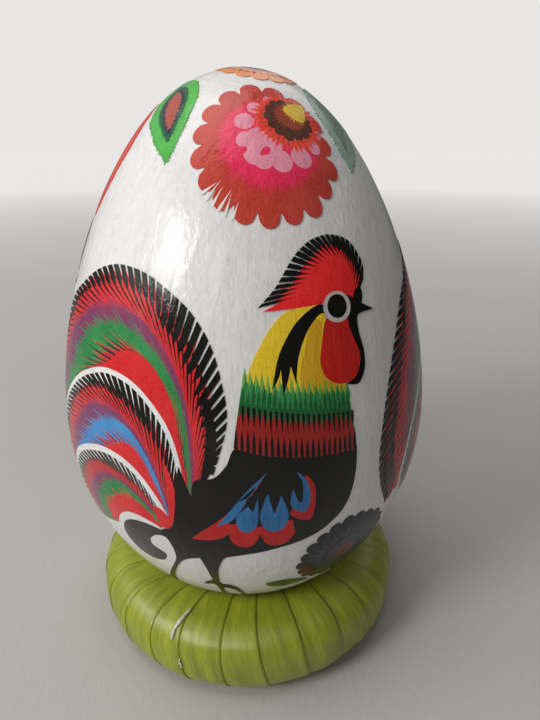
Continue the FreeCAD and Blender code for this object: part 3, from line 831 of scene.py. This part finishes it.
def floor_material():
    """Pale cloth near the egg, which looks more and more like the room's pale wall far away."""
    material = bpy.data.materials.new("pale_cloth")
    nodes = Nodes(material)
    weave = nodes.noise(900, 2, nodes.stretched((1, 0.3, 1)))
    folds = nodes.noise(5, 3)
    colour = nodes.mix(nodes.spread(folds, 0.3, 0.7), (0.43, 0.417, 0.395), (0.48, 0.47, 0.447))
    colour = nodes.mix(nodes.spread(weave, 0.3, 0.7, 0, 0.15), colour, (0.385, 0.375, 0.35))
    away = nodes.feed(nodes.add("ShaderNodeVectorMath", operation="LENGTH"), {0: nodes.place})["Value"]
    fade = nodes.spread(away, FADE_START, FADE_END)
    nodes.set("Base Color", nodes.mix(fade, colour, (0, 0, 0)))
    nodes.set("Emission Color", (*ROOM, 1))
    seen = nodes.add("ShaderNodeLightPath").outputs["Is Camera Ray"]
    nodes.set("Emission Strength", nodes.times(fade, seen))
    nodes.set("Roughness", nodes.spread(weave, 0.3, 0.7, 0.85, 1.0))
    nodes.set("Specular IOR Level", 0.1)
    nodes.set("Normal", nodes.bump(weave, 0.0002, 0.3))
    return material


MATERIALS = {name: ink_material(name, *tones) for name, tones in INKS.items()}


# ---------------------------------------------------------------- making pieces

def new_object(name, vertices, faces):
    """A smooth object, without a material yet."""
    mesh = bpy.data.meshes.new(name)
    mesh.from_pydata([tuple(v) for v in vertices], [], [tuple(int(i) for i in f) for f in faces])
    mesh.validate()
    mesh.polygons.foreach_set("use_smooth", [True] * len(mesh.polygons))
    obj = bpy.data.objects.new(name, mesh)
    bpy.context.scene.collection.objects.link(obj)
    return obj


def quads(rows, columns, closed, first=0):
    """The faces between rows of points, which go all the way round if they are closed."""
    faces = []
    for row in range(rows - 1):
        for column in range(columns if closed else columns - 1):
            here = first + row * columns + column
            beside = first + row * columns + (column + 1) % columns
            faces.append((here, beside, beside + columns, here + columns))
    return faces


def stand_in(obj, body_name, node):
    """Sets what a piece rides on, and hides the part that it stands for."""
    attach(obj, body_name)
    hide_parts(node)


def inside(points, outline):
    """Which points an outline holds, by how often a line from each one crosses it."""
    x, y = points[:, 0], points[:, 1]
    held = np.zeros(len(points), bool)
    for (x1, y1), (x2, y2) in zip(outline, np.roll(outline, -1, axis=0)):
        if y1 == y2:
            continue
        crosses = (y1 > y) != (y2 > y)
        held ^= crosses & (x < (x2 - x1) * (y - y1) / (y2 - y1) + x1)
    return held


def ink_at(points, art):
    """The number of the uppermost shape at each point, or -1."""
    found = np.full(len(points), -1)
    for number, (_, outline) in enumerate(art.shapes):
        low, high = outline.min(axis=0), outline.max(axis=0)
        near = np.flatnonzero(((points >= low) & (points <= high)).all(axis=1))
        found[near[inside(points[near], outline)]] = number
    return found


GRID = 1.15
ROW_SHARE = 0.87        # rows of near-regular triangles lie this much closer than their columns
JITTER = 8              # grid points move by up to an eighth of the grid
MERGED = 1e-4
SMALLEST_AREA = 1e-6
LONGEST_EDGE = 2.2


def bendable(flat, triangles, inks):
    """Splits every long edge at its middle, again and again, so that no triangle cuts into the egg."""
    points = [tuple(point) for point in flat]
    middles = {}
    waiting = [(*triangle, ink) for triangle, ink in zip(triangles.tolist(), inks)]
    short, short_inks = [], []
    while waiting:
        a, b, c, ink = waiting.pop()
        turns = [(a, b, c), (b, c, a), (c, a, b)]
        a, b, c = max(turns, key=lambda turn: math.dist(points[turn[0]], points[turn[1]]))
        if math.dist(points[a], points[b]) <= LONGEST_EDGE:
            short.append((a, b, c))
            short_inks.append(ink)
            continue
        edge = (min(a, b), max(a, b))
        if edge not in middles:
            middles[edge] = len(points)
            points.append(((points[a][0] + points[b][0]) / 2, (points[a][1] + points[b][1]) / 2))
        waiting += [(a, middles[edge], c, ink), (middles[edge], b, c, ink)]
    return np.array(points), np.array(short), short_inks


def partition(art):
    """Cuts a design into triangles, each in one ink, fine enough to follow the egg."""
    corners, edges = [], []
    for _, outline in art.shapes:
        first = len(corners)
        count = len(outline)
        corners += [Vector(point) for point in outline]
        edges += [(first + i, first + (i + 1) % count) for i in range(count)]
    every = np.array([tuple(corner) for corner in corners])
    low, high = every.min(axis=0), every.max(axis=0)
    columns = np.arange(low[0], high[0], GRID)
    rows = np.arange(low[1], high[1], GRID * ROW_SHARE)
    grid = np.array([(x + GRID / 2 * (row % 2), y) for row, y in enumerate(rows) for x in columns])
    grid += [(DRAWS.uniform(-GRID, GRID) / JITTER, DRAWS.uniform(-GRID, GRID) / JITTER) for _ in grid]
    grid = grid[ink_at(grid, art) >= 0]
    corners += [Vector(point) for point in grid]
    points, _, faces, *_ = delaunay_2d_cdt(corners, edges, [], 0, MERGED)
    flat = np.array([tuple(point) for point in points])
    triangles = np.array(faces)
    middles = flat[triangles].mean(axis=1)
    a, b, c = (flat[triangles[:, i]] for i in range(3))
    areas = (b - a)[:, 0] * (c - a)[:, 1] - (b - a)[:, 1] * (c - a)[:, 0]
    found = ink_at(middles, art)
    kept = (found >= 0) & (np.abs(areas) > SMALLEST_AREA)
    triangles, areas, found = triangles[kept], areas[kept], found[kept]
    triangles[areas < 0] = triangles[areas < 0][:, ::-1]
    used, triangles = np.unique(triangles, return_inverse=True)
    return bendable(flat[used], triangles.reshape(-1, 3), [art.shapes[number][0] for number in found])


# How far over the paper a print's two faces are.
PRINT_TOP = 0.15
PRINT_UNDERSIDE = 0.03


def cut_out(node, cut, directions):
    """A thin printed paper shape glued on the egg: a closed shell with the design on its face.

    Each wall round its rim takes the ink of the triangle that it belongs to.
    """
    flat, triangles, inks = cut
    ways = directions(flat)
    top, leaning = rippled(ways, PRINT_TOP)
    bottom, _ = rippled(ways, PRINT_UNDERSIDE)
    count = len(flat)
    sides = np.concatenate([triangles[:, [0, 1]], triangles[:, [1, 2]], triangles[:, [2, 0]]])
    taken = set(map(tuple, sides))
    rim = [(number % len(triangles), a, b) for number, (a, b) in enumerate(sides) if (b, a) not in taken]
    walls = [(b, a, a + count, b + count) for _, a, b in rim]
    faces = [*triangles, *(triangles[:, ::-1] + count), *walls]
    every = np.concatenate([top, bottom])
    obj = new_object("printed_" + node, every, faces)
    mesh = obj.data
    names = sorted(set(inks))
    for ink in names:
        mesh.materials.append(MATERIALS[ink])
    face_inks = [names.index(ink) for ink in inks]
    rim_inks = [face_inks[triangle] for triangle, _, _ in rim]
    mesh.polygons.foreach_set("material_index", face_inks + face_inks + rim_inks)
    here, beside, _, under = np.array(walls).T
    outward = np.cross(every[beside] - every[here], every[under] - every[here])
    outward /= np.maximum(np.linalg.norm(outward, axis=1, keepdims=True), 1e-12)
    loops = np.concatenate([leaning[triangles.ravel()], -leaning[triangles[:, ::-1].ravel()],
                            np.repeat(outward, 4, axis=0)])
    if len(loops) == len(mesh.loops):
        mesh.normals_split_custom_set(loops.tolist())
    stand_in(obj, "egg", node)


def make_paper():
    """The paper skin, rippled where it was smoothed down by hand."""
    around, up = 340, 200
    arc = lengths(OUTLINE)
    tilts = np.interp(np.linspace(0, arc[-1], up + 1)[1:-1], arc, TILT)
    turns = np.arange(around) / around * math.tau
    tilt, turn = np.meshgrid(tilts, turns, indexing="ij")
    ways = np.concatenate([towards(turn.ravel(), tilt.ravel()), [(0, 1e-6, -1), (0, 1e-6, 1)]])
    places, _ = rippled(ways, 0.0)
    below, above = len(ways) - 2, len(ways) - 1
    faces = quads(up - 1, around, closed=True)
    last = (up - 2) * around
    for column in range(around):
        beside = (column + 1) % around
        faces.append((below, beside, column))
        faces.append((last + column, last + beside, above))
    obj = new_object("paper_skin_laid", places, faces)
    obj.data.materials.append(paper_material())
    stand_in(obj, "egg", "paper_skin")


# ---------------------------------------------------------------- the ring

ring_low, ring_high = (np.array(corner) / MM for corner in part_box("ribbon_wrap"))
RING_OUTSIDE = (ring_high[0] - ring_low[0]) / 2
RING_HEIGHT = ring_high[2] - ring_low[2]
RING_WIDTH = 19.2
RING_CORNER = 7.5
RIBBON_DEPTH = 0.6
RIBBON_WIDTH = 12.0
RIBBON_THICKNESS = 0.1
RIBBON_GAP = 0.02
RIBBON_START, RIBBON_END = -0.04, 0.94    # turns before the first one and past the last one
TURNS = 26
FIRST_LIFT = 0.06
LAP_LIFT = 0.12
LAP_CHANGE = 0.06
LAP_RISE = 1.3
PUCKERS = 2.6
PUCKER_HEIGHT = 0.01
GATHER_HEIGHT = 0.05
GATHER_WIDTH = 9
EDGE_RISE = 6
EDGE_HEIGHT = 0.4
BILLOW = 0.11


def around(turn, reach, height):
    """A place that far from the upright axis. Turn is 0 at the front and grows towards the right."""
    return np.array([reach * math.sin(turn), -reach * math.cos(turn), height])


def ring_section(share, inset):
    """A point of the ring's rounded section, its normal there and the section's girth.

    Share 0 is the middle of its underside, and it goes round by the inside and the top.
    """
    corner = RING_CORNER - inset
    wide = RING_WIDTH / 2 - RING_CORNER
    tall = RING_HEIGHT / 2 - RING_CORNER
    quarter = math.pi / 2 * corner
    runs = [wide, quarter, 2 * tall, quarter, 2 * wide, quarter, 2 * tall, quarter, wide]
    at = (share % 1.0) * sum(runs)
    hubs = [(-wide, -tall), (-wide, tall), (wide, tall), (wide, -tall)]
    flats = [(0, -1), (-1, 0), (0, 1), (1, 0)]
    for number, run in enumerate(runs):
        if at <= run or number == len(runs) - 1:
            break
        at -= run
    if number % 2:
        hub = hubs[number // 2]
        turn = math.radians(-90 - 90 * (number // 2)) - at / corner
        normal = (math.cos(turn), math.sin(turn))
        point = (hub[0] + corner * normal[0], hub[1] + corner * normal[1])
    else:
        side = (number // 2) % 4
        normal = flats[side]
        hub = hubs[(side - 1) % 4] if number else (0, -tall)
        ahead = (normal[1], -normal[0])
        point = (hub[0] + corner * normal[0] + at * ahead[0], hub[1] + corner * normal[1] + at * ahead[1])
    centre = RING_OUTSIDE - RING_WIDTH / 2
    return np.array([centre + point[0], RING_HEIGHT / 2 + point[1]]), np.array(normal), sum(runs)


def wander(seed, length, size):
    """A smooth random line through one random value every length steps."""
    draws = random.Random(seed)
    count = 400
    values = [draws.uniform(-size, size) for _ in range(count)]

    def at(x):
        low = int(math.floor(x / length))
        share = x / length - low
        ease = share * share * (3 - 2 * share)
        return values[low % count] * (1 - ease) + values[(low + 1) % count] * ease
    return at


FOLDS = make_waves(count=9, size=0.12, shortest=6, longest=18)


def make_ribbon():
    """One ribbon wound round the ring, each turn lying over the edge of the last one."""
    steps, across = 52, 16
    lean = wander(seed=3, length=0.5, size=1.35)
    spacing = wander(seed=5, length=1.0, size=0.6)
    edge_lift = wander(seed=11, length=0.11, size=0.10)
    tuck = wander(seed=17, length=0.7, size=1.0)
    _, _, girth = ring_section(0, RIBBON_DEPTH)
    places, flat = [], []
    rows = int((TURNS + RIBBON_END - RIBBON_START) * steps)
    for row in range(rows):
        wound = RIBBON_START + row / steps
        point, normal, _ = ring_section(wound, RIBBON_DEPTH + RIBBON_GAP)
        middle = math.radians(wound * 360 / TURNS + lean(wound) + spacing(wound) + 180)
        lap = LAP_LIFT + LAP_CHANGE * abs(tuck(wound))
        gather = max(0.0, 1 - (point[0] - RING_OUTSIDE + RING_WIDTH) / GATHER_WIDTH)
        for column in range(across + 1):
            share = column / across
            azimuth = middle - (0.5 - share) * RIBBON_WIDTH / point[0]
            pucker = math.sin(azimuth * point[0] * PUCKERS + 3 * lean(wound + 9)) * 0.5 + 0.5
            height = FIRST_LIFT + lap * share**LAP_RISE
            height += pucker * (PUCKER_HEIGHT + GATHER_HEIGHT * gather)
            height += abs(edge_lift(wound + 40)) * share**EDGE_RISE * EDGE_HEIGHT
            spot = around(azimuth, *point)
            billow = sum(size * math.sin(way @ spot + phase) for way, phase, size in FOLDS)
            height += BILLOW * (1 + math.tanh(billow / BILLOW))
            places.append(around(azimuth, *(point + normal * height)) * MM)
            flat.append((wound * girth * MM, share * RIBBON_WIDTH * MM))
    obj = new_object("satin_ribbon", places, quads(rows, across + 1, closed=False))
    uv = obj.data.uv_layers.new(name="cloth")
    corners = np.empty(len(obj.data.loops), int)
    obj.data.loops.foreach_get("vertex_index", corners)
    uv.data.foreach_set("uv", np.array(flat)[corners].ravel())
    obj.data.materials.append(satin_material())
    thick = obj.modifiers.new("cloth", "SOLIDIFY")
    thick.thickness = RIBBON_THICKNESS * MM
    thick.offset = 0
    thick.use_even_offset = False
    stand_in(obj, "stand", "ribbon_wrap")


# Where the glue runs: degrees round the ring, and percent of the way round its section.
GLUE_TRAIL = [(-24.5, 53.5), (-25.2, 56), (-25.8, 58.5), (-26.6, 61), (-26.9, 63.5), (-26.7, 66)]
GLUE_WHISKER = [(-22.8, 71.5), (-23.1, 73), (-22.4, 74.5), (-22.7, 75.7)]
GLUE_LIFT = 0.12
TRAIL_RADIUS = 0.42
WHISKER_RADIUS = 0.24
GLUE_FLATNESS = 0.8
THINNEST = 0.02


def make_glue():
    """A dried string of glue down the ring's shoulder, with a whisker at its foot."""
    places, faces = [], []
    sides = 12
    for route, thickest in ((GLUE_TRAIL, TRAIL_RADIUS), (GLUE_WHISKER, WHISKER_RADIUS)):
        centres = []
        for turn, percent in curve(route, steps=10):
            point, normal, _ = ring_section(percent / 100, 0.0)
            centres.append(around(math.radians(turn), *(point + normal * GLUE_LIFT)))
        first = len(places)
        count = len(centres)
        for number, centre in enumerate(centres):
            ahead = centres[min(number + 1, count - 1)] - centres[max(number - 1, 0)]
            ahead /= np.linalg.norm(ahead)
            side = np.cross(ahead, (0, 0, 1.0))
            side /= np.linalg.norm(side)
            rise = np.cross(side, ahead)
            share = number / (count - 1)
            beads = 1 + 0.25 * math.sin(share * 17) + 0.15 * math.sin(share * 41 + 1)
            middling = THINNEST + share * (1 - 2 * THINNEST)
            radius = thickest * beads * math.sqrt(math.sin(math.pi * middling))
            for step in range(sides):
                turn = step / sides * math.tau
                out = side * math.cos(turn) + rise * GLUE_FLATNESS * math.sin(turn)
                places.append((centre + radius * out) * MM)
        faces += quads(count, sides, closed=True, first=first)
        faces.append(tuple(first + step for step in reversed(range(sides))))
        faces.append(tuple(first + (count - 1) * sides + step for step in range(sides)))
    obj = new_object("glue_string", places, faces)
    obj.data.materials.append(glue_material())
    stand_in(obj, "stand", "glue_strand")


# ---------------------------------------------------------------- building it all

LOW_LEAF = [("olive", 1.0), ("deep_green", 0.5)]
GREEN_LEAF = [("grass", 1.0), ("dark_green", 0.6), ("slate", 0.42), ("faded_red", 0.3)]
RED_LEAF = [("scarlet", 1.0), ("brick", 0.6), ("orange", 0.3)]
FADED_LEAF = [("sage", 1.0), ("moss", 0.55)]
LOW_LEAF_SIZE = (10, 4)
LEAF_SIZE = (21, 9.4)
LOW_ROSETTE_RADIUS = 10.8
ROSETTE_RADIUS = 12.9
CROWN_RADIUS = 8

make_paper()
ROOSTER = partition(rooster())
for side, turn in (("front", 0), ("right", 125), ("left", -118)):
    cut_out(f"rooster_{side}", ROOSTER, wrapped(turn))
    cut_out(f"low_rosette_{side}", partition(low_rosette(LOW_ROSETTE_RADIUS)),
            pressed(turn + 32, -28))
    cut_out(f"low_leaf_{side}", partition(leaf(*LOW_LEAF_SIZE, LOW_LEAF)),
            pressed(turn + 14, -40, 72))
for side, azimuth in (("front", 11), ("right", 122), ("left", -128)):
    cut_out(f"rosette_{side}", partition(rosette(ROSETTE_RADIUS)), pressed(azimuth, 69))
cut_out("crown_flower", partition(crown_flower(CROWN_RADIUS)), pressed(56, 87))
for node, slot, inks, azimuth, tilt, roll in (
        ("leaf_green_left", "green_leaf_print", GREEN_LEAF, -45, 75, 34),
        ("leaf_red_left", "red_leaf_print", RED_LEAF, -76, 67, 8),
        ("leaf_green_right", "green_leaf_print", FADED_LEAF, 65, 73, -36),
        ("leaf_red_back", "red_leaf_print", RED_LEAF, 176, 70, 0)):
    cut_out(node, partition(leaf(*LEAF_SIZE, inks)), pressed(azimuth, tilt, roll))

make_ribbon()
make_glue()
for node, material in (("foam_core", foam_material("egg_foam", (0.82, 0.82, 0.80), 0.0035)),
                       ("ring_core", foam_material("ring_foam", (0.78, 0.79, 0.76), 0.0030))):
    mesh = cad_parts[node].data
    mesh.materials.clear()
    mesh.materials.append(material)


# ---------------------------------------------------------------- floor, light and camera

def make_floor():
    """A wide round cloth-covered table."""
    radius, rings, sides = 3.0, 12, 96
    places = [(0, 0, 0)]
    for ring in range(1, rings + 1):
        for side in range(sides):
            turn = side / sides * math.tau
            out = radius * (ring / rings)**2
            places.append((out * math.cos(turn), out * math.sin(turn), 0))
    faces = []
    for side in range(sides):
        beside = (side + 1) % sides
        faces.append((0, 1 + side, 1 + beside))
        for ring in range(rings - 1):
            here = 1 + ring * sides
            faces.append((here + side, here + sides + side, here + sides + beside, here + beside))
    obj = new_object("floor", places, faces)
    obj.data.materials.append(floor_material())


DAYLIGHT = (1.0, 0.99, 0.97)
CEILING_LIGHT = (1.0, 0.99, 0.98)
LIT_PLACE = Vector((0, 0, 0.07))
# Each light's name, direction and distance from the egg, size, power and colour.
LIGHTS = (
    ("window_left_pane", (-0.446, -0.334, 0.323), 0.644, (0.19, 0.18), 1.85, DAYLIGHT),
    ("window_right_pane", (-0.196, -0.529, 0.316), 0.646, (0.07, 0.18), 0.22, DAYLIGHT),
    ("window_side", (-0.86, -0.22, 0.46), 0.9, (0.7, 0.5), 1.6, DAYLIGHT),
    ("overhead", (-0.25, 0.0, 0.97), 1.0, (0.7, 0.7), 3.9, CEILING_LIGHT),
    ("behind", (0.3, 0.65, 0.7), 1.1, (0.6, 0.6), 1.1, CEILING_LIGHT),
)


def add_light(name, direction, distance, size, power, colour):
    """A soft light that faces the egg."""
    data = bpy.data.lights.new(name, "AREA")
    data.shape = "RECTANGLE"
    data.size, data.size_y = size
    data.energy = power
    data.color = colour
    obj = bpy.data.objects.new(name, data)
    obj.location = LIT_PLACE + Vector(direction).normalized() * distance
    obj.rotation_euler = (LIT_PLACE - obj.location).to_track_quat("-Z", "Y").to_euler()
    obj.visible_camera = False
    bpy.context.scene.collection.objects.link(obj)


def make_camera():
    """A camera close to the egg, nearly as high as its top and looking down at it."""
    place = Vector((1.7, -123.4, 117.8)) * MM
    yaw, pitch = math.radians(1.89), math.radians(22.73)
    ahead = Vector((math.sin(yaw) * math.cos(pitch), math.cos(yaw) * math.cos(pitch), -math.sin(pitch)))
    data = bpy.data.cameras.new("camera")
    data.sensor_fit = "VERTICAL"
    data.sensor_height = 36
    data.lens = 28
    data.clip_start = 0.005
    obj = bpy.data.objects.new("camera", data)
    obj.location = place
    obj.rotation_euler = ahead.to_track_quat("-Z", "Y").to_euler()
    bpy.context.scene.collection.objects.link(obj)
    bpy.context.scene.camera = obj


def make_room():
    """Pale walls to look at, with more of their light from the left than from the right."""
    world = bpy.data.worlds.new("room")
    nodes = Nodes(world)
    wall = nodes.tree.nodes["Background"]
    nodes.feed(wall, {"Color": (*ROOM, 1)})
    side = nodes.add("ShaderNodeVectorMath", operation="DOT_PRODUCT")
    facing = nodes.feed(side, {0: nodes.places["Generated"], 1: (-0.6, 0.1, 0.6)})["Value"]
    glow = nodes.add("ShaderNodeBackground")
    nodes.feed(glow, {"Strength": nodes.spread(facing, -0.7, 0.8, 0.025, 0.36)})
    seen = nodes.add("ShaderNodeLightPath").outputs["Is Camera Ray"]
    either = nodes.add("ShaderNodeMixShader")
    nodes.feed(either, {0: seen, 1: glow.outputs[0], 2: wall.outputs[0]})
    nodes.feed(nodes.tree.nodes["World Output"], {"Surface": either.outputs[0]})
    bpy.context.scene.world = world


make_floor()
for light in LIGHTS:
    add_light(*light)
make_room()
bpy.context.scene.view_settings.view_transform = "Standard"
make_camera()
